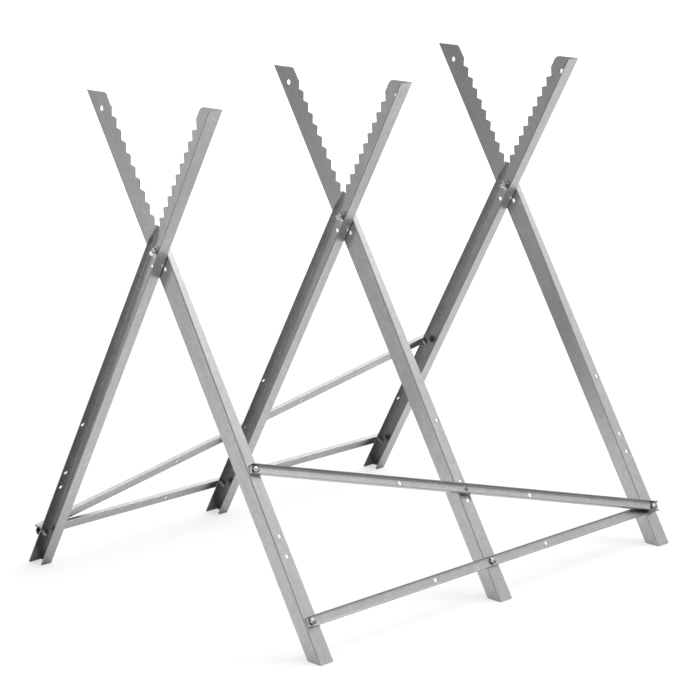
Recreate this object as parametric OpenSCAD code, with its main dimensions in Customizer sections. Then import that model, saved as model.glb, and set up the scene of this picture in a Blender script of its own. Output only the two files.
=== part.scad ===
// Folding log saw stand of galvanised sheet steel.
// Three pairs of toothed channel legs cross on pivot bolts like scissors. The three legs that stand in
// front carry a rail and a diagonal on their outer flanges, and so do the three that stand behind.
// X runs along the pivot line, Y from the front feet to the rear feet and Z up from the ground.
// The rear half is the front half turned by half a turn about the vertical.

/* [Stand] */
// Height of the pivot line above the ground
pivot_h = 554.5; // [450:0.5:650]
// Lean of each leg from the vertical with the stand open
leg_angle = 31; // [26:0.5:36]
// Distance from one pair of legs to the next
pair_pitch = 370; // [300:1:450]

/* [Leg sheet] */
// Thickness of the leg sheet
leg_t = 1.5; // [1:0.1:2]
// Inside radius of the leg bends
leg_bend_in = 0.6; // [0.3:0.1:1.5]
// Distance from the pivot line to the outside of the back flange
back_edge = 21; // [19:0.5:26]
// Outside depth of the back flange below the teeth
flange_d = 21; // [19:0.5:28]
// Outside depth of the back flange at the top of the arm
flange_top_d = 25; // [19:0.5:28]
// Distance from the pivot out to the face of the front flange
face_reach = 17; // [14:0.5:20]
// Distance from the pivot line to the face of the front flange at the foot
face_foot_reach = 4.5; // [4:0.5:10]
// Outside depth of the front flange level with the pivot
face_d = 10.6; // [9:0.1:14]
// Outside depth of the front flange at the foot
face_foot_d = 25; // [22:0.5:28]
// Length of the slope that ends the front flange below the teeth
face_slope = 24; // [10:1:30]
// Rounding of the flange corners at the foot
foot_r = 3; // [1:0.5:6]

/* [Teeth] */
// Number of teeth on each arm
tooth_count = 9; // [5:1:10]
// Distance from one tooth to the next
tooth_pitch = 20; // [16:0.5:24]
// Height of the teeth
tooth_h = 8.3; // [6:0.1:10]
// Distance from the pivot line to the tooth tips
tooth_reach = 20.5; // [18:0.5:24]
// Rounding of the tooth tips
tooth_tip_r = 1.2; // [0.5:0.1:2]
// Distance along the leg from the pivot to the lowest notch
teeth_foot = 36.5; // [30:0.5:45]
// Length of the smooth nose above the highest notch
nose_len = 34; // [28:0.5:50]
// Rounding of the inner corner of the nose
nose_r = 12; // [6:0.5:16]

/* [Leg holes] */
// Diameter of the hole in the nose
nose_hole_d = 8.5; // [6:0.1:10]
// Diameter of the spare hole in the web below the pivot
web_hole_d = 6.6; // [5:0.1:8]
// Distance from the highest notch up to the nose hole
nose_hole_up = 19.5; // [12:0.5:24]
// Distance from the pivot line to the nose hole, towards the back flange
nose_hole_back = 3; // [0:0.5:8]
// Distance from the pivot down to the spare hole in the web
web_hole_down = 28; // [20:0.5:40]
// Distance from the leg web to the holes in the front flange
flange_hole_in = 13; // [10:0.5:13.5]
// Distance from the foot up to the rail hole
rail_hole_up = 64; // [40:1:90]
// Distance from the foot up to the lower spare flange hole
low_spare_up = 164; // [120:1:180]
// Distance from the foot up to the upper spare flange hole
high_spare_up = 195; // [185:1:240]
// Distance from the foot up to the diagonal hole
diagonal_hole_up = 297; // [255:1:340]

/* [Braces] */
// Outside width of the brace channel
brace_w = 16; // [14:0.5:22]
// Outside depth of the brace flanges
brace_d = 7.5; // [5:0.5:10]
// Thickness of the brace sheet
brace_t = 1.2; // [0.8:0.1:1.5]
// Inside radius of the brace bends
brace_bend_in = 0.8; // [0.4:0.1:1.2]
// Length of the brace past its end holes
brace_end = 10; // [8:0.5:14]
// Rounding of the brace web corners
brace_corner_r = 4.5; // [2:0.5:6]
// Rounding of the ends of the brace flanges
brace_flange_r = 3; // [1:0.5:4.5]

/* [Fasteners] */
// Diameter of the brace bolts
bolt_d = 6; // [5:0.1:7]
// Width of the heads and nuts of the brace bolts across the flats
hex_af = 10; // [9:0.1:10.5]
// Height of the heads of the brace bolts
head_h = 4; // [3:0.1:5]
// Height of the plain nuts on the brace bolts
nut_h = 5; // [4:0.1:6]
// Diameter of the pivot bolts
pivot_d = 8; // [6:0.1:10]
// Width of the heads and nuts of the pivot bolts across the flats
pivot_af = 13; // [12.5:0.1:14]
// Height of the heads of the pivot bolts
pivot_head_h = 5.3; // [4:0.1:6]
// Height of the hexagon of the pivot lock nuts
pivot_nut_h = 6.5; // [5:0.1:8]
// Height of the collar on the pivot lock nuts
collar_h = 1.6; // [1:0.1:3]
// Length of bolt past its nut
bolt_stub = 2.5; // [1:0.1:5]
// Outside diameter of the pivot washers
washer_d = 16; // [14:0.1:18]
// Thickness of the pivot washers
washer_t = 1.6; // [1:0.1:2]

/* [Clearances] */
// Gap between the webs of a crossed pair
pair_gap = 0.4; // [0.2:0.1:1]
// Radial clearance of the legs on the pivot bolts
running_clear = 0.06; // [0.02:0.01:0.1]
// Radial clearance of the brace bolts in their holes
hole_clear = 0.3; // [0.1:0.05:0.5]
// Gap between the turning leg and the washer under the lock nut
turning_gap = 0.1; // [0.05:0.05:0.3]

/* [Hidden] */
$fn = 48;

// Cuts run past the faces that they cut by this much
overrun = 1;
// Clearance round a shank in a washer or nut of its own
nest_clear = 0.05;
// Clearance where the diagonal rests on the leg and on the rail
seat_clear = 0.05;
// Chamfer on the bolt ends and on the hexagon corners
bolt_chamfer = 0.8;
hex_chamfer = 0.7;

// Part of the tooth pitch that the steep upper side of a tooth takes
tooth_steep_share = 0.4;
// Places of the spare brace holes along the brace
brace_hole_shares = [0.336, 0.5, 0.664];
// Steps of each arc in the tooth outline
arc_steps = 5;

galvanised = "#b4b8ba";
zinc_plate = "#c8cbce";

leg_bend_r = leg_bend_in + leg_t;
brace_bend_r = brace_bend_in + brace_t;
web_x = pair_gap / 2;

tooth_steep = tooth_pitch * tooth_steep_share;
tooth_long = tooth_pitch - tooth_steep;
notch_v = tooth_reach - tooth_h;
nose_foot = teeth_foot + tooth_count * tooth_pitch;
arm_h = (nose_foot + nose_len) * cos(leg_angle) + tooth_reach * sin(leg_angle);

// The face of the front flange leans in towards the pivot line on its way down to the foot
foot_s = ground_s(face_foot_reach);
face_lean = atan((face_reach - face_foot_reach) / -foot_s);

// Places along the face of the front flange, counted upwards from the pivot
foot_f = foot_s / cos(face_lean);
top_f = teeth_foot / cos(face_lean);
slope_f = top_f - face_slope;
rail_f = foot_f + rail_hole_up;
diagonal_f = foot_f + diagonal_hole_up;
flange_holes_f = [rail_f, foot_f + low_spare_up, foot_f + high_spare_up, diagonal_f];

// The free edge of the front flange leans too, so the flange is deepest at the foot
face_edge_lean = atan((face_foot_d - face_d) / -foot_f);
face_block_d = max(face_foot_d, flange_d, flange_top_d) + overrun;
face_top_d = leg_bend_r + leg_t;

// The diagonal starts on the left leg and ends on top of the rail, so it rises a little on its way
rail_len = 2 * pair_pitch;
diagonal_drop = diagonal_f - rail_f;
diagonal_len = norm([rail_len, diagonal_drop]);
diagonal_angle = atan2(diagonal_drop, rail_len);
crossing_reach = brace_w / 2 * (1 + 1 / cos(diagonal_angle)) / tan(diagonal_angle);
diagonal_tilt = asin(brace_d / (diagonal_len - crossing_reach + brace_end));
head_tilt_room = hex_af * sin(diagonal_tilt);

lock_nut_h = pivot_nut_h + collar_h;
brace_hole_d = bolt_d + 2 * hole_clear;

// Place along the leg, at a distance v from the pivot line, where the leg meets the ground
function ground_s(v) = -(pivot_h + v * sin(leg_angle)) / cos(leg_angle);

// Place along the leg, at a distance v from the pivot line, where the arm is cut off level
function top_s(v) = (arm_h - v * sin(leg_angle)) / cos(leg_angle);

// Distance from the pivot line to the face of the front flange, at a place along the leg
function face_v(s) = face_reach + s * tan(face_lean);

// Depth of the front flange at a place along its face
function face_depth(f) = face_d - f * tan(face_edge_lean);

// Depth of the back flange at a place along the arm
function arm_flange_d(s) =
    flange_d + (flange_top_d - flange_d) * (s - teeth_foot) / (top_s(-back_edge) - teeth_foot);

// X of the flange holes of a front leg
function flange_hole_x(pair) = pair * pair_pitch + web_x + flange_hole_in;

// Height of the diagonal's inner face above the leg flange, at a distance along the diagonal
function diagonal_lift(along) = seat_clear + (along + brace_end) * sin(diagonal_tilt);

function arc_points(centre, r, from, to) = [
    for (k = [0:arc_steps])
        let (turn = from + (to - from) * k / arc_steps)
            centre + r * [cos(turn), sin(turn)]
];

// A tooth from the notch below it to its rounded tip
function tooth_points(foot) =
    let (
        rise = atan(tooth_h / tooth_long),
        fall = atan(tooth_h / tooth_steep),
        shift = tooth_tip_r * (cos(fall) - cos(rise)) / sin(rise + fall),
        drop = tooth_tip_r * (sin(rise) + sin(fall)) / sin(rise + fall)
    )
    concat(
        [[foot, notch_v]],
        arc_points([foot + tooth_long + shift, tooth_reach - drop], tooth_tip_r, 90 + rise, 90 - fall)
    );

// The nose from the highest notch, along its smooth side and round its inner corner to the level top
function nose_points() =
    let (corner = nose_r * tan((90 - leg_angle) / 2))
    concat(
        [[nose_foot, notch_v], [nose_foot + tooth_long, tooth_reach]],
        arc_points([top_s(tooth_reach) - corner, tooth_reach - nose_r], nose_r, 90, leg_angle)
    );

// Side view of the arm above the flange, as [along the leg, across the leg]
function arm_outline() =
    let (back = -back_edge - overrun)
    concat(
        [[teeth_foot, back]],
        [for (k = [0:tooth_count - 1]) each tooth_points(teeth_foot + k * tooth_pitch)],
        nose_points(),
        [[top_s(back), back]]
    );

// Side view of the channel from the ground to the teeth
function channel_outline() =
    let (back = -back_edge - overrun, front = face_v(teeth_foot) + overrun)
    [[ground_s(back), back], [ground_s(front), front], [teeth_foot, front], [teeth_foot, back]];

// Frame of the front half: X along the stand, Y up the leg from the pivot, Z out of the front flange
module front_half() {
    translate([0, 0, pivot_h])
        rotate([90 - leg_angle, 0, 0])
            children();
}

module rear_half() {
    rotate([0, 0, 180])
        front_half()
            children();
}

// Frame of the front flange's face within a half: Y up along the face, Z out of it
module on_face() {
    translate([0, 0, face_reach])
        rotate([face_lean, 0, 0])
            children();
}

// Filled outline of a bent strip: depth along X, width along Y, bends at X = 0
module bent_outline(low, high, depth, r, both) {
    translate([r, low])
        square([depth - r, high - low]);
    translate([0, low + r])
        square([depth, high - low - (both ? 2 : 1) * r]);
    translate([r, low + r])
        circle(r);
    if (both)
        translate([r, high - r])
            circle(r);
}

// Section of a channel, or of an angle where only the low edge is bent
module bent_section(low, high, depth, t, bend_in, both) {
    difference() {
        bent_outline(low, high, depth, bend_in + t, both);
        translate([t, 0])
            bent_outline(low + t, both ? high - t : high + overrun, depth, bend_in, both);
    }
}

// Carries a section along the leg
module along_leg(from, to) {
    translate([web_x, to, 0])
        rotate([90, 0, 0])
            linear_extrude(to - from)
                children();
}

// Block with the leg's side view, as deep as the flanges
module side_block(points) {
    translate([web_x - overrun, 0, 0])
        rotate([90, 0, 90])
            linear_extrude(face_block_d + 2 * overrun)
                polygon(points);
}

module web_bore(s, v, d) {
    translate([web_x - overrun, s, v])
        rotate([0, 90, 0])
            cylinder(h = leg_t + 2 * overrun, d = d);
}

module flange_bore(f) {
    on_face()
        translate([web_x + flange_hole_in, f, -leg_t - overrun])
            cylinder(h = leg_t + 2 * overrun, d = brace_hole_d);
}

// What a rounding takes off a square corner at the origin, with the material towards -X and -Y
module corner_waste(r) {
    difference() {
        translate([-r, -r])
            square(r + overrun);
        translate([-r, -r])
            circle(r);
    }
}

// Block between the two bends of the channel, a distance inside its outer faces
module channel_block(inset, back_d) {
    low = foot_s - flange_d;
    high = teeth_foot + flange_d;
    r = leg_bend_r - inset;
    intersection() {
        along_leg(low, high)
            translate([inset, 0]) {
                bent_outline(inset - back_edge, 0, back_d, r, false);
                square([face_block_d, face_v(high)]);
            }
        on_face()
            along_leg(low, high)
                mirror([0, 1, 0])
                    translate([inset, 0])
                        bent_outline(inset, face_v(high) + back_edge, face_block_d, r, false);
    }
}

// What the free edge of the front flange leaves of the sheet, seen from the front of the face
module face_edge_waste() {
    low = foot_f - overrun;
    high = top_f + overrun;
    far = face_block_d + overrun;
    polygon([
        [face_depth(low), low], [face_depth(slope_f), slope_f],
        [face_top_d, top_f], [face_top_d, high], [far, high], [far, low]
    ]);
}

// What the rounding takes off the foot of the front flange
module face_foot_waste() {
    centre = [face_foot_d - foot_r * (1 / cos(face_edge_lean) + tan(face_edge_lean)), foot_f + foot_r];
    touch = centre + foot_r * [cos(face_edge_lean), sin(face_edge_lean)];
    far = face_block_d + overrun;
    difference() {
        polygon([
            centre, [centre.x, foot_f - overrun], [far, foot_f - overrun], [far, touch.y], touch
        ]);
        translate(centre)
            circle(foot_r);
    }
}

// Cuts the shape of children out of the front flange
module through_face() {
    on_face()
        translate([web_x, 0, -leg_t - overrun])
            linear_extrude(leg_t + 2 * overrun)
                children();
}

// Rounds the free corner of the back flange at the foot
module back_foot_waste() {
    translate([web_x + flange_d, ground_s(leg_t - back_edge), -back_edge - overrun])
        mirror([0, 1, 0])
            linear_extrude(leg_t + 2 * overrun)
                corner_waste(foot_r);
}

module channel_shape() {
    difference() {
        intersection() {
            difference() {
                channel_block(0, flange_d);
                channel_block(leg_t, face_block_d);
            }
            side_block(channel_outline());
        }
        through_face()
            face_edge_waste();
        through_face()
            face_foot_waste();
        for (f = flange_holes_f)
            flange_bore(f);
        back_foot_waste();
    }
}

// What the free edge of the back flange leaves of the sheet along the arm
module arm_edge_waste() {
    low = teeth_foot - overrun;
    high = top_s(-back_edge) + overrun;
    far = face_block_d + overrun;
    translate([web_x, 0, -back_edge - overrun])
        linear_extrude(leg_t + 2 * overrun)
            polygon([[arm_flange_d(low), low], [arm_flange_d(high), high], [far, high], [far, low]]);
}

module arm_shape() {
    difference() {
        intersection() {
            along_leg(teeth_foot, top_s(-back_edge) + overrun)
                bent_section(-back_edge, tooth_reach, face_block_d, leg_t, leg_bend_in, false);
            side_block(arm_outline());
        }
        arm_edge_waste();
    }
}

module leg_shape() {
    difference() {
        union() {
            channel_shape();
            arm_shape();
        }
        web_bore(0, 0, pivot_d + 2 * running_clear);
        web_bore(-web_hole_down, 0, web_hole_d);
        web_bore(nose_foot + nose_hole_up, -nose_hole_back, nose_hole_d);
    }
}

module front_leg(pair) {
    color(galvanised)
        front_half()
            translate([pair * pair_pitch, 0, 0])
                leg_shape();
}

module rear_leg(pair) {
    color(galvanised)
        rear_half()
            translate([-pair * pair_pitch, 0, 0])
                leg_shape();
}

// Trims one end of a brace, which starts at X = 0 and runs towards +X
module brace_end_waste() {
    for (side = [0, 1])
        mirror([0, side, 0])
            translate([0, brace_w / 2, -overrun])
                mirror([1, 0, 0])
                    linear_extrude(brace_d + 2 * overrun)
                        corner_waste(brace_corner_r);
    translate([0, brace_w / 2 + overrun, brace_d])
        rotate([90, 0, 0])
            mirror([1, 0, 0])
                linear_extrude(brace_w + 2 * overrun)
                    corner_waste(brace_flange_r);
}

// A brace from hole to hole along X, with its web on Z = 0 and its flanges up
module brace_shape(len) {
    difference() {
        translate([len + brace_end, 0, 0])
            rotate([0, -90, 0])
                linear_extrude(len + 2 * brace_end)
                    bent_section(-brace_w / 2, brace_w / 2, brace_d, brace_t, brace_bend_in, true);
        for (share = concat([0, 1], brace_hole_shares))
            translate([len * share, 0, -overrun])
                cylinder(h = brace_t + 2 * overrun, d = brace_hole_d);
        translate([-brace_end, 0, 0])
            brace_end_waste();
        translate([len + brace_end, 0, 0])
            mirror([1, 0, 0])
                brace_end_waste();
    }
}

module rail_in_half() {
    on_face()
        translate([flange_hole_x(-1), rail_f, 0])
            brace_shape(rail_len);
}

module diagonal_in_half() {
    on_face()
        translate([flange_hole_x(-1), diagonal_f, diagonal_lift(0)])
            rotate([0, 0, -diagonal_angle])
                rotate([0, -diagonal_tilt, 0])
                    brace_shape(diagonal_len);
}

module front_rail() {
    color(galvanised)
        front_half()
            rail_in_half();
}

module front_diagonal() {
    color(galvanised)
        front_half()
            diagonal_in_half();
}

module rear_rail() {
    color(galvanised)
        rear_half()
            rail_in_half();
}

module rear_diagonal() {
    color(galvanised)
        rear_half()
            diagonal_in_half();
}

// Hexagon prism on Z = 0 with flats across Y, its upper corners turned off
module hexagon(h, af) {
    corner = af / cos(30) / 2;
    intersection() {
        cylinder(h = h, r = corner, $fn = 6);
        rotate_extrude()
            polygon([
                [0, 0], [corner, 0], [corner, h - hex_chamfer],
                [corner - hex_chamfer, h], [0, h]
            ]);
    }
}

// Bolt with its head on Z = 0 and its shank below
module hex_bolt(len, d, af, head) {
    hexagon(head, af);
    rotate_extrude()
        polygon([
            [0, 0], [d / 2, 0], [d / 2, bolt_chamfer - len],
            [d / 2 - bolt_chamfer, -len], [0, -len]
        ]);
}

module nut_bore(h, d) {
    translate([0, 0, -overrun])
        cylinder(h = h + 2 * overrun, d = d + 2 * nest_clear);
}

module hex_nut() {
    difference() {
        hexagon(nut_h, hex_af);
        nut_bore(nut_h, bolt_d);
    }
}

// Lock nut on Z = 0: a nut with a round collar that grips the thread
module lock_nut() {
    difference() {
        union() {
            hexagon(pivot_nut_h, pivot_af);
            cylinder(h = lock_nut_h, d = pivot_af - 2 * hex_chamfer);
        }
        nut_bore(lock_nut_h, pivot_d);
    }
}

module washer() {
    difference() {
        cylinder(h = washer_t, d = washer_d);
        nut_bore(washer_t, pivot_d);
    }
}

// Places a pivot piece of a pair, with its Z along +X or -X, a distance out from the middle of the pair
module on_pivot(pair, out, side) {
    translate([pair * pair_pitch + side * out, 0, pivot_h])
        rotate([0, side * 90, 0])
            children();
}

pivot_head_out = web_x + leg_t;
pivot_nut_out = web_x + leg_t + turning_gap;

module pivot_bolt(pair) {
    reach = pivot_head_out + pivot_nut_out + 2 * washer_t + lock_nut_h + bolt_stub;
    color(zinc_plate)
        on_pivot(pair, pivot_head_out + washer_t, 1)
            hex_bolt(reach, pivot_d, pivot_af, pivot_head_h);
}

module pivot_nut(pair) {
    color(zinc_plate)
        on_pivot(pair, pivot_nut_out + washer_t, -1)
            lock_nut();
}

module pivot_head_washer(pair) {
    color(zinc_plate)
        on_pivot(pair, pivot_head_out, 1)
            washer();
}

module pivot_nut_washer(pair) {
    color(zinc_plate)
        on_pivot(pair, pivot_nut_out, -1)
            washer();
}

// Bolt through a brace and a leg flange, with its head a seat height above the flange
module brace_bolt(pair, f, seat, turn) {
    color(zinc_plate)
        on_face()
            translate([flange_hole_x(pair), f, seat])
                rotate([0, 0, turn])
                    hex_bolt(seat + leg_t + nut_h + bolt_stub, bolt_d, hex_af, head_h);
}

module brace_nut(pair, f) {
    color(zinc_plate)
        on_face()
            translate([flange_hole_x(pair), f, -leg_t])
                rotate([180, 0, 0])
                    hex_nut();
}

module rail_bolt(pair) {
    brace_bolt(pair, rail_f, brace_t, 0);
}

module diagonal_bolt() {
    brace_bolt(-1, diagonal_f, diagonal_lift(0) + brace_t + head_tilt_room, -diagonal_angle);
}

module corner_bolt() {
    brace_bolt(1, rail_f, diagonal_lift(diagonal_len) + brace_t + head_tilt_room, -diagonal_angle);
}

front_leg(-1);  // front_leg_left
front_leg(0);  // front_leg_middle
front_leg(1);  // front_leg_right
rear_leg(-1);  // rear_leg_left
rear_leg(0);  // rear_leg_middle
rear_leg(1);  // rear_leg_right
front_rail();
front_diagonal();
rear_rail();
rear_diagonal();
pivot_bolt(-1);  // pivot_bolt_left
pivot_bolt(0);  // pivot_bolt_middle
pivot_bolt(1);  // pivot_bolt_right
pivot_nut(-1);  // pivot_nut_left
pivot_nut(0);  // pivot_nut_middle
pivot_nut(1);  // pivot_nut_right
pivot_head_washer(-1);  // pivot_head_washer_left
pivot_head_washer(0);  // pivot_head_washer_middle
pivot_head_washer(1);  // pivot_head_washer_right
pivot_nut_washer(-1);  // pivot_nut_washer_left
pivot_nut_washer(0);  // pivot_nut_washer_middle
pivot_nut_washer(1);  // pivot_nut_washer_right
front_half() rail_bolt(-1);  // front_rail_bolt_left
front_half() rail_bolt(0);  // front_rail_bolt_middle
front_half() corner_bolt();  // front_corner_bolt
front_half() diagonal_bolt();  // front_diagonal_bolt
front_half() brace_nut(-1, rail_f);  // front_rail_nut_left
front_half() brace_nut(0, rail_f);  // front_rail_nut_middle
front_half() brace_nut(1, rail_f);  // front_corner_nut
front_half() brace_nut(-1, diagonal_f);  // front_diagonal_nut
rear_half() rail_bolt(-1);  // rear_rail_bolt_right
rear_half() rail_bolt(0);  // rear_rail_bolt_middle
rear_half() corner_bolt();  // rear_corner_bolt
rear_half() diagonal_bolt();  // rear_diagonal_bolt
rear_half() brace_nut(-1, rail_f);  // rear_rail_nut_right
rear_half() brace_nut(0, rail_f);  // rear_rail_nut_middle
rear_half() brace_nut(1, rail_f);  // rear_corner_nut
rear_half() brace_nut(-1, diagonal_f);  // rear_diagonal_nut
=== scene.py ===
"""Folding log saw stand of galvanised sheet steel: finishes, fasteners, studio and camera.

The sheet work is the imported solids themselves, dressed in galvanised finishes whose rolling grain
runs along each piece. Bolts and lock nuts are new surfaces with threads, chamfers and washer faces
in the places of their plain solids. Lengths are in metres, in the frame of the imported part: X along
the pivot line, Z up.
"""

from __future__ import annotations

import logging
import math
from dataclasses import dataclass
from enum import Enum
from typing import Any

import bpy
import numpy as np
from mathutils import Matrix, Vector

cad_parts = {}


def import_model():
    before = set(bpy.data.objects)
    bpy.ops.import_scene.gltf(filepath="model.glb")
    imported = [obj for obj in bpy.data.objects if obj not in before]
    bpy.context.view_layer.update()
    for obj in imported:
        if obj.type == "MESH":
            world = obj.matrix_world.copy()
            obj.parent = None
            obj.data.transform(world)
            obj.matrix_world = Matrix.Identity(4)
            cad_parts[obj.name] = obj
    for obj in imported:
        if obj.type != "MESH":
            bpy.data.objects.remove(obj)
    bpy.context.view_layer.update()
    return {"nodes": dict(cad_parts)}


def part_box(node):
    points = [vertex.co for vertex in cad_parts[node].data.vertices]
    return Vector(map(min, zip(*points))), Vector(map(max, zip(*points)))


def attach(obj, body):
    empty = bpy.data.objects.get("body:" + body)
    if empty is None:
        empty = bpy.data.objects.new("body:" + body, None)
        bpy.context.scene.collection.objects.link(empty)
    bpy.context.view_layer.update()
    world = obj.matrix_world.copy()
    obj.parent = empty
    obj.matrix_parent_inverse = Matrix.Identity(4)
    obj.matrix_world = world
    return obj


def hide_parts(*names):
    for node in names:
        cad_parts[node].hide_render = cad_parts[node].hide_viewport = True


LOG = logging.getLogger("saw_stand")
MM = 0.001
FULL_TURN = 2.0 * math.pi
WHITE = "#ffffff"


# ---- small helpers ----


def hex_linear(code: str) -> tuple[float, float, float, float]:
    """Turns an sRGB hex colour into linear RGBA.

    Args:
        code: Six hex digits with a leading hash.

    Returns:
        Linear red, green and blue, with an alpha of one.
    """
    srgb = np.array([int(code[i:i + 2], 16) for i in (1, 3, 5)]) / 255.0
    linear = np.where(srgb <= 0.04045, srgb / 12.92, ((srgb + 0.055) / 1.055) ** 2.4)
    return (*linear.tolist(), 1.0)


def add_node(tree: bpy.types.NodeTree, kind: str, inputs: dict[Any, Any] | None = None,
             **settings: Any) -> bpy.types.Node:
    """Adds a shader node with its settings, values and links.

    Args:
        tree: The node tree that receives the node.
        kind: The node's type name.
        inputs: Input names or indices, each with a value or with the socket that feeds it.
        settings: Attributes set on the node itself.

    Returns:
        The new node.
    """
    node = tree.nodes.new(kind)
    for key, value in settings.items():
        setattr(node, key, value)
    for key, value in (inputs or {}).items():
        if isinstance(value, bpy.types.NodeSocket):
            tree.links.new(value, node.inputs[key])
        else:
            node.inputs[key].default_value = value
    return node


def set_ramp(node: bpy.types.Node, stops: list[tuple[float, str]]) -> None:
    """Gives a colour ramp its stops.

    Args:
        node: The ramp.
        stops: A place from 0 to 1 and a hex colour for each stop.
    """
    elements = node.color_ramp.elements
    while len(elements) < len(stops):
        elements.new(0.5)
    for element, (place, code) in zip(elements, stops):
        element.position = place
        element.color = hex_linear(code)


def new_material(name: str) -> tuple[bpy.types.Material, bpy.types.NodeTree, bpy.types.Node]:
    """Starts a material.

    Args:
        name: The material's name.

    Returns:
        The material, its node tree and the shader in it.
    """
    material = bpy.data.materials.new(name)
    material.use_nodes = True
    tree = material.node_tree
    return material, tree, tree.nodes["Principled BSDF"]


def mesh_piece(name: str, points: np.ndarray, faces: np.ndarray, material: bpy.types.Material,
               sharp_deg: float = 32.0) -> bpy.types.Object:
    """Makes a mesh object at the origin from whole arrays.

    Args:
        name: The object's name.
        points: Vertex places, shape (n, 3).
        faces: Quads as vertex numbers, shape (m, 4); a repeated last number makes a triangle.
        material: The finish of the whole piece.
        sharp_deg: Edges that turn by more than this stay sharp.

    Returns:
        The linked object.
    """
    mesh = bpy.data.meshes.new(name)
    rows = [list(dict.fromkeys(face)) for face in faces.tolist()]
    mesh.from_pydata(points.tolist(), [], rows)
    mesh.validate()
    mesh.polygons.foreach_set("use_smooth", np.ones(len(mesh.polygons), bool))
    mesh.set_sharp_from_angle(angle=math.radians(sharp_deg))
    mesh.materials.append(material)
    piece = bpy.data.objects.new(name, mesh)
    bpy.context.scene.collection.objects.link(piece)
    return piece


def turned_faces(rows: int, columns: int) -> np.ndarray:
    """Quads of a grid whose columns close into a ring.

    Args:
        rows: Rings of the grid.
        columns: Points in each ring.

    Returns:
        Vertex numbers, shape (quads, 4).
    """
    row, column = np.meshgrid(np.arange(rows - 1), np.arange(columns), indexing="ij")
    after = (column + 1) % columns
    quads = np.stack([row * columns + column, (row + 1) * columns + column,
                      (row + 1) * columns + after, row * columns + after], -1)
    return quads.reshape(-1, 4)


def capped_faces(rows: int, columns: int) -> np.ndarray:
    """Quads of a ring grid whose first and last rings have no size and close as poles.

    Args:
        rows: Rings of the grid, the two poles among them.
        columns: Points in each ring.

    Returns:
        Vertex numbers for one pole point, the full rings and the other pole point.
    """
    full = rows - 2
    column = np.arange(columns)
    after = (column + 1) % columns
    last = 1 + full * columns
    top = np.stack([np.zeros_like(column), 1 + column, 1 + after, 1 + after], -1)
    body = turned_faces(full, columns) + 1
    base = 1 + (full - 1) * columns
    bottom = np.stack([base + column, np.full_like(column, last), base + after, base + after], -1)
    return np.concatenate([top, body, bottom])


# ---- finishes ----


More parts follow.
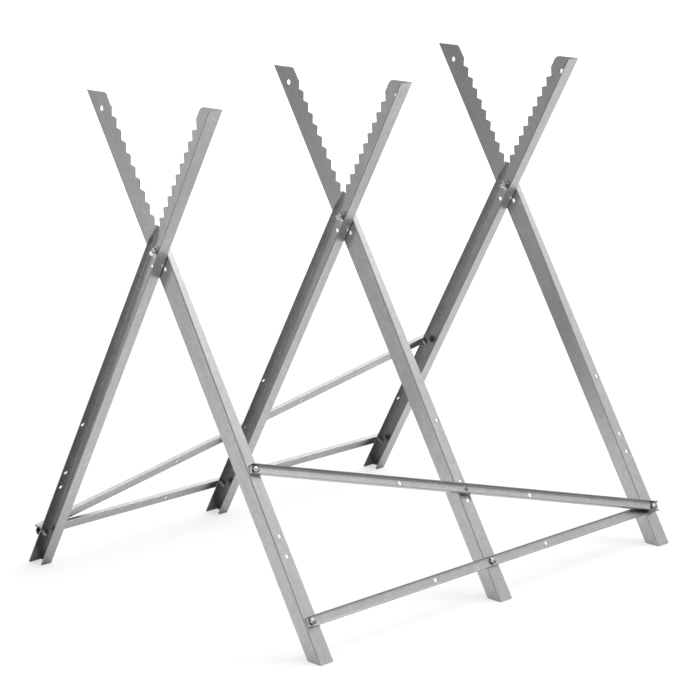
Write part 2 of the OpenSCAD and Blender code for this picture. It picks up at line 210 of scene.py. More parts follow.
@dataclass(frozen=True)
class GalvanisedSheet:
    """Cold-rolled steel sheet with a galvanised coat, minimised spangle and a satin skin.

    The eye sees a mid neutral grey metal with a soft sheen, faint rolling streaks along the strip,
    a mottle of zinc crystals a few millimetres wide, slow clouds and a fine grain. Edges that were
    sheared or punched after the coating show darker bare steel, drawn a little darker still so that
    they also carry painted shade along the braces' lower edges. The streaks and the grain are drawn
    about twice as coarse as on the real sheet, because one pixel of the picture spans about 1.6 mm.
    """

    dark: str = "#969696"
    mid: str = "#a0a0a0"
    light: str = "#aaaaaa"
    tone_stops: tuple[float, float, float] = (0.3, 0.5, 0.7)
    # Bare steel of the cut edges, set a little darker than the steel so that it also paints shade
    # along the braces' lower edges.
    cut: str = "#7e7e7e"
    cut_lean: float = 0.12
    rim_facing: float = 0.7
    roughness: tuple[float, float] = (0.27, 0.35)
    cut_roughness: float = 0.4
    streak_mm: float = 1.6
    streak_stretch: float = 40.0
    streak_detail: float = 2.0
    streak_octaves: float = 0.6
    grain_mm: float = 1.5
    grain_detail: float = 1.0
    grain_share: float = 0.35
    spangle_mm: float = 7.0
    spangle_share: float = 0.16
    cloud_mm: float = 71.4
    cloud_detail: float = 2.0
    cloud_share: float = 0.12
    bump_mm: float = 0.05
    bump_strength: float = 0.35

    def cut_mask(self, tree: bpy.types.NodeTree, coords: Any, run: Vector, out: np.ndarray,
                 clear: float) -> bpy.types.NodeSocket:
        """Finds cut edges by where they lie and look.

        A face is a cut edge where its normal leans along the strip, as at holes, teeth and ends, or
        where it looks out along the flanges and lies clear of the web, as their rims do.

        Args:
            tree: The material's node tree.
            coords: The outputs of its Texture Coordinate node.
            run: The unit vector along the strip.
            out: The direction in which the flanges stand out from the web.
            clear: How far along that direction a place is clear of the web.

        Returns:
            A socket that is one on cut edges and nought elsewhere.
        """
        lean = add_node(tree, "ShaderNodeVectorMath", {0: coords["Normal"], 1: run},
                        operation="DOT_PRODUCT").outputs["Value"]
        lean = add_node(tree, "ShaderNodeMath", {0: lean}, operation="ABSOLUTE").outputs[0]
        lean = add_node(tree, "ShaderNodeMath", {0: lean, 1: self.cut_lean},
                        operation="GREATER_THAN").outputs[0]
        reach, facing = (
            add_node(tree, "ShaderNodeVectorMath", {0: vector, 1: out},
                     operation="DOT_PRODUCT").outputs["Value"]
            for vector in (coords["Object"], coords["Normal"]))
        reach = add_node(tree, "ShaderNodeMath", {0: reach, 1: clear},
                         operation="GREATER_THAN").outputs[0]
        facing = add_node(tree, "ShaderNodeMath", {0: facing, 1: self.rim_facing},
                          operation="GREATER_THAN").outputs[0]
        return add_node(tree, "ShaderNodeMath", {0: reach, 1: facing, 2: lean},
                        operation="MULTIPLY_ADD", use_clamp=True).outputs[0]

    def build(self, name: str, run: tuple[float, float, float], out: np.ndarray,
              clear: float) -> bpy.types.Material:
        """Makes the material with its grain along a piece and bare steel on its cut edges.

        Args:
            name: The material's name.
            run: The direction in the row frame along which the strip was rolled.
            out: The direction in which the flanges stand out from the web.
            clear: How far along that direction a place is clear of the web, from the row's origin.

        Returns:
            The finished material.
        """
        material, tree, shader = new_material(name)
        rolled = Vector(run).normalized()
        turn = rolled.rotation_difference(Vector((0, 0, 1))).to_euler()
        coords = add_node(tree, "ShaderNodeTexCoord").outputs
        along = add_node(tree, "ShaderNodeMapping",
                         {"Vector": coords["Object"], "Rotation": turn}).outputs["Vector"]
        cut = self.cut_mask(tree, coords, rolled, out, clear)
        drawn = add_node(tree, "ShaderNodeVectorMath",
                         {0: along, 1: (1.0, 1.0, 1.0 / self.streak_stretch)},
                         operation="MULTIPLY").outputs[0]
        streak = add_node(tree, "ShaderNodeTexNoise",
                          {"Vector": drawn, "Scale": 1.0 / (self.streak_mm * MM),
                           "Detail": self.streak_detail,
                           "Roughness": self.streak_octaves}).outputs["Fac"]
        grain = add_node(tree, "ShaderNodeTexNoise",
                         {"Vector": along, "Scale": 1.0 / (self.grain_mm * MM),
                          "Detail": self.grain_detail}).outputs["Fac"]
        cloud = add_node(tree, "ShaderNodeTexNoise",
                         {"Vector": along, "Scale": 1.0 / (self.cloud_mm * MM),
                          "Detail": self.cloud_detail}).outputs["Fac"]
        cells = add_node(tree, "ShaderNodeTexVoronoi",
                         {"Vector": along, "Scale": 1.0 / (self.spangle_mm * MM)})
        crystal = add_node(tree, "ShaderNodeSeparateColor", {0: cells.outputs["Color"]}).outputs[0]
        coat = add_node(tree, "ShaderNodeMix",
                        {"Factor": self.grain_share, 2: streak, 3: grain},
                        data_type="FLOAT").outputs[0]
        mottle = add_node(tree, "ShaderNodeMix",
                          {"Factor": self.spangle_share, 2: coat, 3: crystal},
                          data_type="FLOAT").outputs[0]
        tone = add_node(tree, "ShaderNodeMix",
                        {"Factor": self.cloud_share, 2: mottle, 3: cloud},
                        data_type="FLOAT").outputs[0]
        ramp = add_node(tree, "ShaderNodeValToRGB", {"Fac": tone})
        set_ramp(ramp, list(zip(self.tone_stops, (self.dark, self.mid, self.light))))
        # Cut edges take the bare steel colour, which carries a little painted shade.
        paint = add_node(tree, "ShaderNodeMix",
                         {0: cut, 6: ramp.outputs["Color"], 7: hex_linear(self.cut)},
                         data_type="RGBA")
        tree.links.new(paint.outputs[2], shader.inputs["Base Color"])
        low, high = self.roughness
        skin = add_node(tree, "ShaderNodeMapRange",
                        {"Value": mottle, "From Min": self.tone_stops[0],
                         "From Max": self.tone_stops[-1], "To Min": high, "To Max": low})
        skin = add_node(tree, "ShaderNodeMix",
                        {0: cut, 2: skin.outputs["Result"], 3: self.cut_roughness},
                        data_type="FLOAT")
        tree.links.new(skin.outputs[0], shader.inputs["Roughness"])
        bump = add_node(tree, "ShaderNodeBump",
                        {"Height": coat, "Strength": self.bump_strength,
                         "Distance": self.bump_mm * MM})
        tree.links.new(bump.outputs["Normal"], shader.inputs["Normal"])
        shader.inputs["Metallic"].default_value = 1.0
        return material


@dataclass(frozen=True)
class ZincPlate:
    """Electroplated zinc on turned and forged steel fasteners.

    The eye sees a sharper metal than the sheet, with small stains a few millimetres wide in which
    the plate is darker and less polished.
    """

    # These greys are darker than the zinc itself: painted shade in the place of the dark reflections
    # on the brace bolts' heads.
    dark: str = "#868686"
    light: str = "#acacac"
    tone_stops: tuple[float, float] = (0.3, 0.65)
    roughness: tuple[float, float] = (0.1, 0.18)
    skin_stops: tuple[float, float] = (0.3, 0.7)
    stain_mm: float = 2.5
    stain_detail: float = 4.0

    def build(self, name: str) -> bpy.types.Material:
        """Makes the material.

        Args:
            name: The material's name.

        Returns:
            The finished material.
        """
        material, tree, shader = new_material(name)
        place = add_node(tree, "ShaderNodeTexCoord").outputs["Object"]
        stain = add_node(tree, "ShaderNodeTexNoise",
                         {"Vector": place, "Scale": 1.0 / (self.stain_mm * MM),
                          "Detail": self.stain_detail}).outputs["Fac"]
        ramp = add_node(tree, "ShaderNodeValToRGB", {"Fac": stain})
        set_ramp(ramp, list(zip(self.tone_stops, (self.dark, self.light))))
        tree.links.new(ramp.outputs["Color"], shader.inputs["Base Color"])
        low, high = self.roughness
        skin = add_node(tree, "ShaderNodeMapRange",
                        {"Value": stain, "From Min": self.skin_stops[0],
                         "From Max": self.skin_stops[1], "To Min": high, "To Max": low})
        tree.links.new(skin.outputs["Result"], shader.inputs["Roughness"])
        shader.inputs["Metallic"].default_value = 1.0
        return material


# The pivot fasteners' plate is the same zinc as the brace fasteners', drawn paler as a painted
# highlight, and more polished.
PAINTED_HIGHLIGHT_PLATE = ZincPlate(dark="#b8b8b8", light="#d8d8d8", roughness=(0.06, 0.14))


@dataclass(frozen=True)
class BlackNylon:
    """Moulded nylon of the locking rings, a faintly glossy near-black that darkens the nut's end."""

    dark: str = "#1c1c1d"
    light: str = "#2a2a2b"
    tone_stops: tuple[float, float] = (0.35, 0.65)
    haze_mm: float = 1.1
    haze_detail: float = 2.0
    roughness: float = 0.38
    ior: float = 1.53

    def build(self, name: str) -> bpy.types.Material:
        """Makes the material.

        Args:
            name: The material's name.

        Returns:
            The finished material.
        """
        material, tree, shader = new_material(name)
        place = add_node(tree, "ShaderNodeTexCoord").outputs["Object"]
        haze = add_node(tree, "ShaderNodeTexNoise",
                        {"Vector": place, "Scale": 1.0 / (self.haze_mm * MM),
                         "Detail": self.haze_detail}).outputs["Fac"]
        ramp = add_node(tree, "ShaderNodeValToRGB", {"Fac": haze})
        set_ramp(ramp, list(zip(self.tone_stops, (self.dark, self.light))))
        tree.links.new(ramp.outputs["Color"], shader.inputs["Base Color"])
        shader.inputs["Roughness"].default_value = self.roughness
        shader.inputs["IOR"].default_value = self.ior
        return material


# ---- the stand ----


class Half(Enum):
    """The two halves that fold on each other, by body name."""

    FRONT = "front_half"
    REAR = "rear_half"

    @property
    def stem(self) -> str:
        """First word of the names of the half's nodes."""
        return "front" if self is Half.FRONT else "rear"

    @property
    def side(self) -> float:
        """One on the front half, minus one on the rear half, which is turned by half a turn."""
        return 1.0 if self is Half.FRONT else -1.0


@dataclass(frozen=True)
class SheetWork:
    """Legs, rails and diagonals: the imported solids, dressed with grain along each strip."""

    leg_angle: float = math.radians(31.0)
    rim_clear: float = 3.0 * MM
    pieces: tuple[str, ...] = ("leg_left", "leg_middle", "leg_right", "rail", "diagonal")

    def strip_run(self, piece: str, half: Half) -> tuple[float, float, float]:
        """Direction along a strip: up a leg, along a rail, or across the span of a diagonal.

        Args:
            piece: The node's name without the half's word.
            half: The half that carries it.

        Returns:
            A vector along the strip in the row frame.
        """
        if piece == "rail":
            return (1.0, 0.0, 0.0)
        if piece == "diagonal":
            low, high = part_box(f"{half.stem}_{piece}")
            span = high - low
            return (half.side * span.x, -half.side * span.y, -span.z)
        return (0.0, half.side * math.sin(self.leg_angle), math.cos(self.leg_angle))

    def flange_out(self, node: bpy.types.Object, piece: str, half: Half) -> np.ndarray:
        """Direction in which a strip's flanges stand: along X on legs, out of the half on braces.

        Args:
            node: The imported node.
            piece: Its name without the half's word.
            half: The half that carries it.

        Returns:
            A unit vector in the row frame.
        """
        if piece.startswith("leg"):
            return np.array([half.side, 0.0, 0.0])
        lean = (0.0, -half.side * math.cos(self.leg_angle), math.sin(self.leg_angle))
        return web_normal(node, np.array(lean))

    def dress(self, nodes: dict[str, bpy.types.Object],
              finish: GalvanisedSheet) -> list[bpy.types.Object]:
        """Gives every leg, rail and diagonal its finish.

        Args:
            nodes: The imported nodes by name.
            finish: The sheet's finish.

        Returns:
            The dressed nodes.
        """
        dressed = []
        for half in Half:
            for piece in self.pieces:
                name = f"{half.stem}_{piece}"
                node = nodes[name]
                out = self.flange_out(node, piece, half)
                clear = float((mesh_points(node) @ out).min()) + self.rim_clear
                run = self.strip_run(piece, half)
                give_finish(node, finish.build(f"galvanised_{name}", run, out, clear))
                dressed.append(node)
        return dressed


def mesh_points(node: bpy.types.Object) -> np.ndarray:
    """Reads the vertices of a node.

    Args:
        node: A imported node.

    Returns:
        Vertex places, shape (n, 3).
    """
    flat = np.empty(len(node.data.vertices) * 3)
    node.data.vertices.foreach_get("co", flat)
    return flat.reshape(-1, 3)


def web_normal(node: bpy.types.Object, guess: np.ndarray, near_cos: float = 0.985) -> np.ndarray:
    """Mean normal of the faces that look within a few degrees of a guess, weighted by area.

    Args:
        node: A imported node.
        guess: A unit vector near the normal.
        near_cos: Cosine of the widest angle from the guess.

    Returns:
        The unit normal.
    """
    faces = node.data.polygons
    normals, areas = np.empty(len(faces) * 3), np.empty(len(faces))
    faces.foreach_get("normal", normals)
    faces.foreach_get("area", areas)
    normals = normals.reshape(-1, 3)
    mean = (normals * (areas * (normals @ guess > near_cos))[:, None]).sum(0)
    return mean / np.linalg.norm(mean)


def give_finish(node: bpy.types.Object, material: bpy.types.Material) -> None:
    """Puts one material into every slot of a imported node.

    Args:
        node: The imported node.
        material: Its finish.
    """
    for slot in node.material_slots:
        slot.material = material
    if not node.material_slots:
        node.data.materials.append(material)


@dataclass(frozen=True)
class Seat:
    """Where a turned piece sits: its axis, the way one hexagon corner points, and its two ends."""

    axis: np.ndarray
    corner: np.ndarray
    centre: np.ndarray
    low: float
    high: float

    @classmethod
    def of_node(cls, node: bpy.types.Object, axis: np.ndarray, near_x: float = 0.9) -> "Seat":
        """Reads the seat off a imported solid.

        The axis passes through the middle of the solid's spread across it, and the corner direction
        is that of the vertex farthest from the axis.

        Args:
            node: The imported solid.
            axis: The axis direction, towards the bolt head or out of the nut.
            near_x: An axis with more than this along X is measured across Z, any other across X.

        Returns:
            The seat in the row frame.
        """
        points = mesh_points(node)
        e3 = axis / np.linalg.norm(axis)
        helper = np.array([1.0, 0.0, 0.0]) if abs(e3[0]) < near_x else np.array([0.0, 0.0, 1.0])
        e1 = helper - e3 * (helper @ e3)
        e1 /= np.linalg.norm(e1)
        e2 = np.cross(e3, e1)
        across = np.stack([points @ e1, points @ e2], 1)
        middle = (across.min(0) + across.max(0)) / 2.0
        centre = middle[0] * e1 + middle[1] * e2
        offset = across - middle
        far = offset[np.argmax((offset ** 2).sum(1))]
        corner = far[0] * e1 + far[1] * e2
        along = points @ e3
        return cls(e3, corner / np.linalg.norm(corner), centre,
                   float(along.min()), float(along.max()))

    def place(self, radius: np.ndarray, angle: np.ndarray, height: np.ndarray) -> np.ndarray:
        """Turns cylinder coordinates about the axis into the row frame.

        Args:
            radius: Distance from the axis, shape (rings, columns).
            angle: Angle from the hexagon corner, one for each column.
            height: Distance along the axis from the row's origin, shaped as the radius.

        Returns:
            Points, shape (rings times columns, 3).
        """
        angle = np.broadcast_to(angle, radius.shape)
        side = np.cross(self.axis, self.corner)
        points = (self.centre + (radius * np.cos(angle))[..., None] * self.corner
                  + (radius * np.sin(angle))[..., None] * side + height[..., None] * self.axis)
        return points.reshape(-1, 3)


@dataclass(frozen=True)
class Fastener:
    """Sizes that bolts and nuts of one thread share."""

    thread_d: float = 6.0 * MM
    pitch: float = 1.0 * MM
    thread_depth: float = 0.56 * MM
    flank_gain: float = 2.4
    root_flat: float = 0.1
    across_flats: float = 10.0 * MM
    crown_share: float = 0.94
    chamfer_deg: float = 28.0
    columns: int = 72

    @property
    def half(self) -> float:
        """Half the width across the flats."""
        return self.across_flats / 2.0

    @property
    def crown(self) -> float:
        """Radius of the round face that the chamfer leaves of the hexagon."""
        return self.crown_share * self.half

    def angles(self) -> np.ndarray:
        """Angles of the columns round the axis."""
        return np.arange(self.columns) * (FULL_TURN / self.columns)

    def hexagon(self, angle: np.ndarray) -> np.ndarray:
        """Radius of the hexagon: half the width over the cosine from the nearest flat's middle."""
        sixth = math.pi / 3.0
        return self.half / np.cos(np.mod(angle, sixth) - sixth / 2.0)

    def drop(self, hexagon: np.ndarray) -> np.ndarray:
        """Fall of the chamfer's cone from the crown out to the hexagon's radius."""
        return (hexagon - self.crown) * math.tan(math.radians(self.chamfer_deg))

    def thread(self, angle: np.ndarray, height: float) -> np.ndarray:
        """Radius of a right-hand thread, a flat-crested wave of the height less a pitch a turn.

        Args:
            angle: Angles of the columns.
            height: Distance along the axis.

        Returns:
            One radius for each angle.
        """
        phase = np.mod(height / self.pitch - angle / FULL_TURN, 1.0)
        wave = np.clip(np.abs(phase - 0.5) * self.flank_gain - self.root_flat, 0.0, 1.0)
        return self.thread_d / 2.0 - self.thread_depth * (1.0 - wave)


def ring_arrays(rings: list[tuple[Any, Any]], columns: int) -> tuple[np.ndarray, np.ndarray]:
    """Stacks rings into whole arrays.

    Args:
        rings: A radius and a height for each ring, each a number or one value for each column.
        columns: Points in each ring.

    Returns:
        Radii and heights, each of shape (rings, columns).
    """
    radius, height = (np.array([np.broadcast_to(ring[k], columns) for ring in rings])
                      for k in (0, 1))
    return radius, height


@dataclass(frozen=True)
class HexBolt(Fastener):
    """A hexagon bolt as one turned surface: head, washer face, shank, thread and chamfered end."""

    head_h: float = 4.0 * MM
    dome: float = 0.75 * MM
    dome_rings: int = 10
    edge_share: float = 0.995
    edge_rise: float = 0.02
    edge_fall: float = 0.04
    washer_face: float = 0.35 * MM
    washer_share: float = 0.93
    thread_len: float = 9.0 * MM
    turn_rings: int = 10
    end_chamfer: float = 0.8 * MM
    end_share: float = 0.5

    def surface(self, seat: Seat) -> np.ndarray:
        """Rings of the bolt from the middle of its head to the middle of its end.

        Each ring is a radius and a height over the angle. The head's top is a dome that falls with
        the square of the radius. Its edge is where the hexagon meets a cone, so its height falls
        with the hexagon's radius. The thread's radius follows its phase, held under the cone of the
        end chamfer.

        Args:
            seat: Where the plain bolt sits.

        Returns:
            Vertex places: the head's middle, the rings and the end's middle.
        """
        angle = self.angles()
        hexagon = self.hexagon(angle)
        shank = self.thread_d / 2.0
        top, tip = seat.high, seat.low
        under = top - self.head_h
        shoulder = top - self.dome - self.drop(hexagon)
        rings = [(share * self.crown, top - self.dome * share ** 2)
                 for share in np.linspace(1.0 / self.dome_rings, 1.0, self.dome_rings)]
        rings += [
            (self.edge_share * hexagon, shoulder + self.edge_rise * self.half),
            (hexagon, shoulder - self.edge_fall * self.half),
            (hexagon, under + self.washer_face),
            (self.washer_share * self.half, under + self.washer_face),
            (self.washer_share * self.half, under), (shank, under), (shank, tip + self.thread_len)]
        steps = int(round(self.thread_len / self.pitch)) * self.turn_rings
        end = shank - self.end_chamfer
        rings += [(np.minimum(self.thread(angle, height), end + (height - tip)), height)
                  for height in np.linspace(tip + self.thread_len, tip, steps)]
        rings.append((self.end_share * end, tip))
        radius, height = ring_arrays(rings, self.columns)
        first = seat.centre + top * seat.axis
        last = seat.centre + tip * seat.axis
        return np.concatenate([first[None], seat.place(radius, angle, height), last[None]])

    def build(self, name: str, seat: Seat, material: bpy.types.Material) -> bpy.types.Object:
        """Makes the bolt.

        Args:
            name: The piece's name.
            seat: Where the plain bolt sits.
            material: Its finish.

        Returns:
            The new object.
        """
        points = self.surface(seat)
        rows = (len(points) - 2) // self.columns + 2
        return mesh_piece(name, points, capped_faces(rows, self.columns), material)


@dataclass(frozen=True)
class LockNut(Fastener):
    """A nut with a rolled collar that holds a nylon ring, as one closed turned surface."""

    collar_h: float = 1.6 * MM
    collar_share: float = 0.9
    collar_step: float = 0.1 * MM
    roll: float = 0.7 * MM
    roll_rings: int = 6
    bore_clear: float = 0.05 * MM
    lip: float = 1.0 * MM
    recess: float = 1.15 * MM
    bead: float = 0.45 * MM
    bead_depth: float = 0.75 * MM
    bead_rings: int = 14
    bead_sharp_deg: float = 60.0

    @property
    def bore(self) -> float:
        """Radius of the bore, just clear of the thread."""
        return self.thread_d / 2.0 + self.bore_clear

    def profile(self, seat: Seat, angle: np.ndarray) -> tuple[np.ndarray, np.ndarray]:
        """Rings of the nut round its section, from the bore's foot outwards and back to the bore.

        The hexagon's edges are cut by cones above and below. The collar rises out of the upper cone
        and rolls inwards along a quarter circle, and the recess for the ring leads to the bore.

        Args:
            seat: Where the plain nut sits, with its axis out of the collar.
            angle: Angles of the columns.

        Returns:
            Radii and heights, each of shape (rings, columns).
        """
        hexagon = self.hexagon(angle)
        drop = self.drop(hexagon)
        base, top = seat.low, seat.high
        deck = top - self.collar_h
        floor = top - self.recess
        collar = self.collar_share * self.half
        rings = [(self.bore, base), (self.crown, base), (hexagon, base + drop),
                 (hexagon, deck - drop), (self.crown, deck), (collar, deck + self.collar_step)]
        rings += [(collar - self.roll + self.roll * math.cos(t),
                   top - self.roll + self.roll * math.sin(t))
                  for t in np.linspace(0.0, math.pi / 2.0, self.roll_rings)]
        rings += [(self.bore + self.lip, top), (self.bore + self.lip, floor), (self.bore, floor)]
        return ring_arrays(rings, self.columns)

    def build(self, name: str, seat: Seat, material: bpy.types.Material) -> bpy.types.Object:
        """Makes the nut.

        Args:
            name: The piece's name.
            seat: Where the plain nut sits.
            material: Its finish.

        Returns:
            The new object.
        """
        angle = self.angles()
        radius, height = self.profile(seat, angle)
        rows = len(radius)
        faces = turned_faces(rows + 1, self.columns) % (rows * self.columns)
        return mesh_piece(name, seat.place(radius, angle, height), faces[:, ::-1], material)

    def ring(self, name: str, seat: Seat, material: bpy.types.Material) -> bpy.types.Object:
        """Makes the nylon ring in the recess: a rounded bead round the thread.

        Args:
            name: The piece's name.
            seat: Where the plain nut sits.
            material: Its finish.

        Returns:
            The new object.
        """
        angle = self.angles()
        turn = np.arange(self.bead_rings) * (FULL_TURN / self.bead_rings)
        middle = self.bore + self.lip / 2.0
        ones = np.ones_like(angle)
        radius = middle + self.bead * np.cos(turn)[:, None] * ones
        height = seat.high - self.bead_depth + self.bead * np.sin(turn)[:, None] * ones
        faces = turned_faces(self.bead_rings + 1, self.columns) % (self.bead_rings * self.columns)
        return mesh_piece(name, seat.place(radius, angle, height), faces[:, ::-1], material,
                          sharp_deg=self.bead_sharp_deg)


@dataclass(frozen=True)
class Hardware:
    """All fasteners: bolts and lock nuts as new surfaces, plain nuts and washers as packed."""

    places: tuple[str, ...] = ("left", "middle", "right")
    brace_bolt: HexBolt = HexBolt()
    pivot_bolt: HexBolt = HexBolt(
        thread_d=8.0 * MM, pitch=1.25 * MM, thread_depth=0.7 * MM, across_flats=13.0 * MM,
        head_h=5.3 * MM, thread_len=10.0 * MM, dome=0.0)
    pivot_nut: LockNut = LockNut(thread_d=8.0 * MM, pitch=1.25 * MM, across_flats=13.0 * MM)

    def bolts(self, nodes: dict[str, bpy.types.Object]
              ) -> dict[str, tuple[Half, HexBolt, np.ndarray]]:
        """Every bolt's half, make and axis; brace bolts stand square to the rail of their half.

        Args:
            nodes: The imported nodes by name.

        Returns:
            The table of bolts by node name.
        """
        table = {f"pivot_bolt_{place}": (Half.FRONT, self.pivot_bolt, np.array([1.0, 0.0, 0.0]))
                 for place in self.places}
        for half, end in ((Half.FRONT, "left"), (Half.REAR, "right")):
            axis = SheetWork().flange_out(nodes[f"{half.stem}_rail"], "rail", half)
            names = (f"rail_bolt_{end}", "rail_bolt_middle", "corner_bolt", "diagonal_bolt")
            table.update({f"{half.stem}_{name}": (half, self.brace_bolt, axis) for name in names})
        return table

    def build(self, nodes: dict[str, bpy.types.Object], plate: bpy.types.Material,
              bright: bpy.types.Material, nylon: bpy.types.Material) -> list[bpy.types.Object]:
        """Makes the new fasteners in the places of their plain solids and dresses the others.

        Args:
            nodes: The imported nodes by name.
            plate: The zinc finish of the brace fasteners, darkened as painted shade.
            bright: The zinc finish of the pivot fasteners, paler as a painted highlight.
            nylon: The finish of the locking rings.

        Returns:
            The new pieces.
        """
        pieces = []
        for name, (half, make, axis) in self.bolts(nodes).items():
            # The pivot fasteners take the paler plate, a painted highlight on the same zinc.
            zinc = bright if make is self.pivot_bolt else plate
            bolt = make.build(f"{name}_threaded", Seat.of_node(nodes[name], axis), zinc)
            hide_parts(name)
            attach(bolt, half.value)
            pieces.append(bolt)
        for place in self.places:
            seat = Seat.of_node(nodes[f"pivot_nut_{place}"], np.array([-1.0, 0.0, 0.0]))
            nut = self.pivot_nut.build(f"pivot_nut_{place}_collared", seat, bright)
            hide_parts(f"pivot_nut_{place}")
            ring = self.pivot_nut.ring(f"pivot_nut_{place}_ring", seat, nylon)
            for piece in (nut, ring):
                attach(piece, Half.FRONT.value)
                pieces.append(piece)
        # The plain pivot pieces take the paler plate with its painted highlight, the others the
        # darker plate with its painted shade.
        for name, node in nodes.items():
            if "nut" in name or "washer" in name or "bolt" in name:
                give_finish(node, bright if name.startswith("pivot") else plate)
        return pieces


# ---- studio ----


@dataclass(frozen=True)
class Photograph:
    """Camera fitted to measured points of the photograph, in pixels of a 700 by 700 picture."""

    pixels: float = 700.0
    azimuth_deg: float = -42.492
    elevation_deg: float = 13.985
    roll_deg: float = -1.06
    focal_px: float = 2424.461
    aim_right: float = 6.852 * MM
    aim_up: float = -49.644 * MM
    aim_height: float = 390.0 * MM
    distance: float = 3841.33 * MM
    sensor_mm: float = 36.0
    farthest: float = 400.0

    def axes(self) -> tuple[np.ndarray, np.ndarray, np.ndarray]:
        """Unit vectors to the right of the picture, up in it and out of it towards the viewer.

        Returns:
            The three vectors in the row frame.
        """
        a, e, r = np.radians([self.azimuth_deg, self.elevation_deg, self.roll_deg])
        out = np.array([math.sin(a) * math.cos(e), -math.cos(a) * math.cos(e), math.sin(e)])
        right = np.array([math.cos(a), math.sin(a), 0.0])
        up = np.cross(right, -out)
        return (math.cos(r) * right + math.sin(r) * up, -math.sin(r) * right + math.cos(r) * up,
                out)

    def build(self) -> bpy.types.Object:
        """Makes the camera and sets it as the scene's.

        Returns:
            The camera object.
        """
        right, up, out = self.axes()
        data = bpy.data.cameras.new("photograph")
        data.sensor_width = self.sensor_mm
        data.lens = self.focal_px / self.pixels * data.sensor_width
        data.clip_end = self.farthest
        camera = bpy.data.objects.new("photograph", data)
        aim = np.array([0.0, 0.0, self.aim_height]) + self.aim_right * right + self.aim_up * up
        place = Matrix(np.stack([right, up, out], 1).tolist()).to_4x4()
        place.translation = Vector((aim + self.distance * out).tolist())
        camera.matrix_world = place
        bpy.context.scene.collection.objects.link(camera)
        bpy.context.scene.camera = camera
        return camera


@dataclass(frozen=True)
class Softbox:
    """A square lamp that looks at the middle of the stand, or at another place."""

    name: str
    place: tuple[float, float, float]
    size: float
    watts: float
    aim: tuple[float, float, float] = (0.0, 0.0, 0.4)

    def build(self) -> bpy.types.Object:
        """Makes the lamp.

        Returns:
            The lamp object.
        """
        data = bpy.data.lights.new(self.name, "AREA")
        data.shape = "SQUARE"
        data.size = self.size
        data.energy = self.watts
        lamp = bpy.data.objects.new(self.name, data)
        lamp.location = self.place
        look = Vector(self.aim) - Vector(self.place)
        lamp.rotation_euler = look.to_track_quat("-Z", "Y").to_euler()
        bpy.context.scene.collection.objects.link(lamp)
        return lamp


@dataclass(frozen=True)
class Glow:
    """A broad soft brightness of the room round one direction, from a cosine at its edge."""

    way: tuple[float, float, float]
    edge: float
    strength: float


@dataclass(frozen=True)
class Side:
    """A side of the floor that mirrors bright: full up to one distance, none past another."""

    way: tuple[float, float, float]
    full: float
    none: float


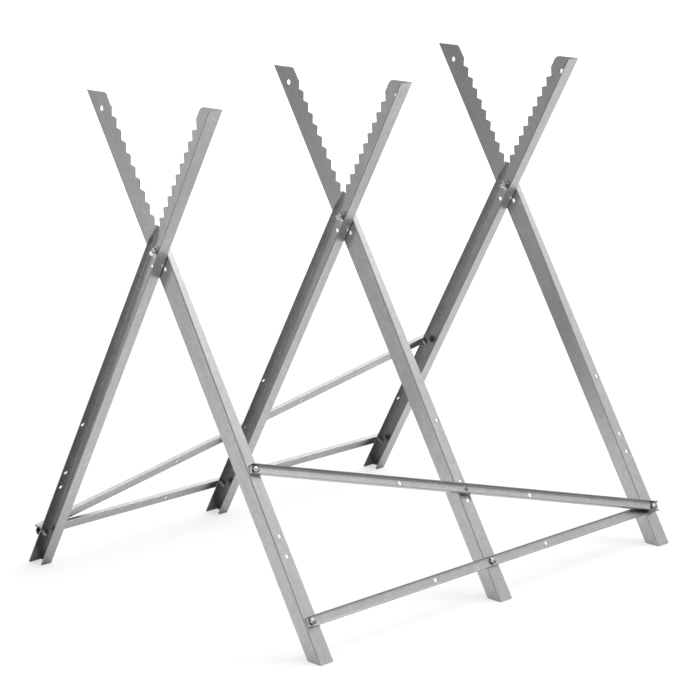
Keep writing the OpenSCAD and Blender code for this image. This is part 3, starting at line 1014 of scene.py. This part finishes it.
@dataclass(frozen=True)
class Studio:
    """Plain pale floor, soft lamps and a dim room round them.

    The floor's paint is lifted towards white for the camera and for the metal that mirrors it. Each
    lift changes over its reach, which is in metres from the middle of the stand.
    """

    floor_half: float = 120.0
    floor_colour: str = "#9a9a9a"
    seen_lift: tuple[float, float] = (0.6, 0.95)
    seen_reach: tuple[float, float] = (0.9, 3.0)
    mirrored_lift: float = 0.93
    mirrored_reach: tuple[float, float] = (2.3, 3.6)
    mirrored_sides: tuple[Side, ...] = (
        Side((0.738, 0.675, 0.0), -0.2, 0.2),
        Side((0.0, 1.0, 0.0), 0.2, 0.55),
    )
    foot_shade: float = 0.12
    room_dark: float = 0.26
    glows: tuple[Glow, ...] = (
        Glow((0.66, 0.12, 0.74), 0.5, 1.6),
        Glow((0.1, -0.6, 0.8), 0.5, 1.15),
        Glow((-0.71, -0.45, 0.46), 0.4, 0.15),
        Glow((-0.3, 0.6, 0.74), 0.6, 0.65),
    )
    lamps: tuple[Softbox, ...] = (
        Softbox("key_right", (1.9, -1.0, 3.0), 1.2, 28.0),
        Softbox("panel_left", (-1.49, 0.81, 0.75), 1.0, 2.2, (-0.8, 0.07, 0.7)),
    )

    def mirrored(self, tree: bpy.types.NodeTree, place: bpy.types.NodeSocket,
                 far: bpy.types.NodeSocket) -> bpy.types.NodeSocket:
        """Works out how much brighter than its paint the floor mirrors in the metal.

        The lift fades with the distance from the stand and past the bright sides, and it is shaded
        close under the feet, as the floor itself is.

        Args:
            tree: The floor's node tree.
            place: Places on the floor.
            far: Their distances from the middle of the stand.

        Returns:
            A socket with the lift.
        """
        near = add_node(tree, "ShaderNodeMapRange",
                        {"Value": far, "From Min": self.mirrored_reach[0],
                         "From Max": self.mirrored_reach[1], "To Min": self.mirrored_lift,
                         "To Max": 0.0}, interpolation_type="SMOOTHSTEP").outputs["Result"]
        lift: Any = 0.0
        for side in self.mirrored_sides:
            along = add_node(tree, "ShaderNodeVectorMath", {0: place, 1: side.way},
                             operation="DOT_PRODUCT").outputs["Value"]
            bright = add_node(tree, "ShaderNodeMapRange",
                              {"Value": along, "From Min": side.full, "From Max": side.none,
                               "To Min": near, "To Max": 0.0},
                              interpolation_type="SMOOTHSTEP").outputs["Result"]
            lift = add_node(tree, "ShaderNodeMath", {0: bright, 1: lift},
                            operation="MAXIMUM").outputs[0]
        open_air = add_node(tree, "ShaderNodeAmbientOcclusion",
                            {"Distance": self.foot_shade}).outputs["AO"]
        return add_node(tree, "ShaderNodeMath", {0: lift, 1: open_air},
                        operation="MULTIPLY").outputs[0]

    def floor(self) -> bpy.types.Object:
        """Makes the floor, whose colour is lifted to white for the eye and for reflections.

        Returns:
            The floor object.
        """
        material, tree, _ = new_material("studio_floor")
        tree.nodes.clear()
        path = add_node(tree, "ShaderNodeLightPath").outputs
        place = add_node(tree, "ShaderNodeTexCoord").outputs["Object"]
        far = add_node(tree, "ShaderNodeVectorMath", {0: place},
                       operation="LENGTH").outputs["Value"]
        seen = add_node(tree, "ShaderNodeMapRange",
                        {"Value": far, "From Min": self.seen_reach[0],
                         "From Max": self.seen_reach[1], "To Min": self.seen_lift[0],
                         "To Max": self.seen_lift[1]}).outputs["Result"]
        mirrored = self.mirrored(tree, place, far)
        seen = add_node(tree, "ShaderNodeMath", {0: path["Is Camera Ray"], 1: seen},
                        operation="MULTIPLY").outputs[0]
        bounce = add_node(tree, "ShaderNodeMath",
                          {0: path["Is Glossy Ray"], 1: path["Is Transmission Ray"]},
                          operation="MAXIMUM").outputs[0]
        lift = add_node(tree, "ShaderNodeMath", {0: bounce, 1: mirrored, 2: seen},
                        operation="MULTIPLY_ADD").outputs[0]
        paint = add_node(tree, "ShaderNodeBsdfDiffuse", {"Color": hex_linear(self.floor_colour)})
        glow = add_node(tree, "ShaderNodeEmission",
                        {"Color": hex_linear(WHITE), "Strength": lift})
        both = add_node(tree, "ShaderNodeAddShader", {0: paint.outputs[0], 1: glow.outputs[0]})
        add_node(tree, "ShaderNodeOutputMaterial", {"Surface": both.outputs[0]})
        h = self.floor_half
        corners = np.array([[-h, -h, 0.0], [h, -h, 0.0], [h, h, 0.0], [-h, h, 0.0]])
        floor = mesh_piece("studio_floor", corners, np.array([[0, 1, 2, 3]]), material)
        return floor

    def room(self) -> None:
        """Lights the world: dim all round, with broad soft brightnesses."""
        world = bpy.data.worlds.new("studio_room")
        world.use_nodes = True
        tree = world.node_tree
        sky = tree.nodes["Background"]
        sky.inputs["Color"].default_value = hex_linear(WHITE)
        way = add_node(tree, "ShaderNodeTexCoord").outputs["Generated"]
        level: Any = self.room_dark
        for glow in self.glows:
            near = add_node(tree, "ShaderNodeVectorMath",
                            {0: way, 1: Vector(glow.way).normalized()},
                            operation="DOT_PRODUCT").outputs["Value"]
            rise = add_node(tree, "ShaderNodeMapRange",
                            {"Value": near, "From Min": glow.edge, "From Max": 1.0, "To Min": 0.0,
                             "To Max": glow.strength},
                            interpolation_type="SMOOTHSTEP").outputs["Result"]
            level = add_node(tree, "ShaderNodeMath", {0: rise, 1: level},
                             operation="ADD").outputs[0]
        tree.links.new(level, sky.inputs["Strength"])
        bpy.context.scene.world = world

    def build(self) -> None:
        """Makes the floor, the room and the lamps, and sets how the picture is shown."""
        self.floor()
        self.room()
        for lamp in self.lamps:
            lamp.build()
        bpy.context.scene.view_settings.view_transform = "Standard"


def main() -> None:
    """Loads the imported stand, dresses it and sets up the studio and the camera."""
    logging.basicConfig(level=logging.INFO, format="%(name)s: %(message)s")
    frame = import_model()
    nodes = frame["nodes"]
    Photograph().build()
    Studio().build()
    for node in SheetWork().dress(nodes, GalvanisedSheet()):
        LOG.info("dressed %s", node.name)
    # The brace plate is darkened as painted shade and the pivot plate paled as a painted highlight;
    # both are the same zinc.
    plate = ZincPlate().build("zinc_plate")
    bright = PAINTED_HIGHLIGHT_PLATE.build("zinc_plate_painted_highlight")
    nylon = BlackNylon().build("black_nylon")
    for piece in Hardware().build(nodes, plate, bright, nylon):
        LOG.info("made %s with %d faces", piece.name, len(piece.data.polygons))


if __name__ == "__main__":
    main()
